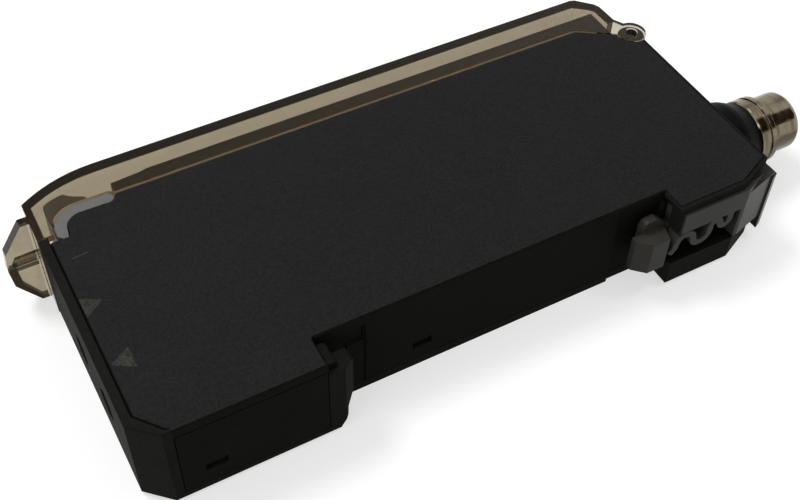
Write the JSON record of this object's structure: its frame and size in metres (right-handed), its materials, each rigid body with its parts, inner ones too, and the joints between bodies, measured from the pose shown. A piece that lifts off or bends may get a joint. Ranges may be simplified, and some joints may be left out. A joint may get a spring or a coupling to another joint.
{
  "type": "fibre-optic sensor amplifier",
  "caption": "Slim black amplifier housing with rail notch, spring clip, hinged smoked lid, fibre ports, keys and a round cable plug.",
  "frame": {"origin": "middle of the rail seat on the floor of the notch, at half the thickness", "axes": "+X along the housing from the fibre end to the plug end, +Y from the rail to the lid, +Z through the thickness, out of the printed broad face"},
  "size_m": [0.0774, 0.0312, 0.0104],
  "materials": {
    "case_plastic": "fine-grained moulded plastic",
    "cover_plastic": "fine-grained moulded plastic",
    "panel_plastic": "smooth moulded plastic",
    "display_window": "polished dark window",
    "module_plastic": "moulded plastic",
    "orange_lens": "polished lens",
    "green_lens": "polished lens",
    "led_ceramic": "moulded plastic",
    "button_plastic": "satin moulded plastic",
    "smoked_lid": "smoked clear plastic",
    "lever_plastic": "satin moulded plastic",
    "board_laminate": "lacquered laminate",
    "chip_plastic": "moulded epoxy",
    "can_aluminium": "satin",
    "collar_plastic": "moulded plastic",
    "nut_brass": "machined",
    "nickel": "polished nickel plate",
    "contact_gold": "gold plate",
    "clip_plastic": "satin moulded plastic"
  },
  "bodies": {
    "housing": {"case": "case_plastic", "side_cover": "cover_plastic", "control_panel": "panel_plastic", "display_window": "display_window", "display_module": "module_plastic", "output_lens": "orange_lens", "power_lens": "green_lens", "led_chips": "led_ceramic", "switch_up": "module_plastic", "switch_down": "module_plastic", "switch_set": "module_plastic", "fibre_holder": "module_plastic", "emitter": "led_ceramic", "receiver": "module_plastic", "circuit_board": "board_laminate", "processor": "chip_plastic", "capacitor": "can_aluminium", "regulator": "chip_plastic", "connector_collar": "collar_plastic", "connector_nut": "nut_brass", "connector_sleeve": "nickel", "pin_insert": "collar_plastic", "contact_pin_1": "contact_gold", "contact_pin_2": "contact_gold", "contact_pin_3": "contact_gold", "contact_pin_4": "contact_gold"},
    "lid": {"lid": "smoked_lid"},
    "lever": {"fibre_lever": "lever_plastic"},
    "clip": {"rail_clip": "clip_plastic"},
    "up_key": {"button_up": "button_plastic"},
    "down_key": {"button_down": "button_plastic"},
    "set_key": {"button_set": "button_plastic"}
  },
  "joints": [
    {"name": "lid_hinge", "type": "hinge", "parent": "housing", "child": "lid", "pos_m": [0.0294, 0.0207, 0], "axis": [0, 0, -1], "range_deg": [0, 120]},
    {"name": "lever_hinge", "type": "hinge", "parent": "housing", "child": "lever", "pos_m": [-0.0278, 0.02325, 0], "axis": [0, 0, -1], "range_deg": [0, 72]},
    {"name": "clip_slide", "type": "slide", "parent": "housing", "child": "clip", "axis": [1, 0, 0], "range_m": [0, 0.0039], "stiffness_N_per_m": 400},
    {"name": "up_press", "type": "slide", "parent": "housing", "child": "up_key", "axis": [0, -1, 0], "range_m": [0, 0.0003], "stiffness_N_per_m": 400},
    {"name": "down_press", "type": "slide", "parent": "housing", "child": "down_key", "axis": [0, -1, 0], "range_m": [0, 0.0003], "stiffness_N_per_m": 400},
    {"name": "set_press", "type": "slide", "parent": "housing", "child": "set_key", "axis": [0, -1, 0], "range_m": [0, 0.0003], "stiffness_N_per_m": 400}
  ],
  "couplings": [
    {"joint": "lever_hinge", "follows": "lid_hinge", "ratio": 0.6}
  ]
}
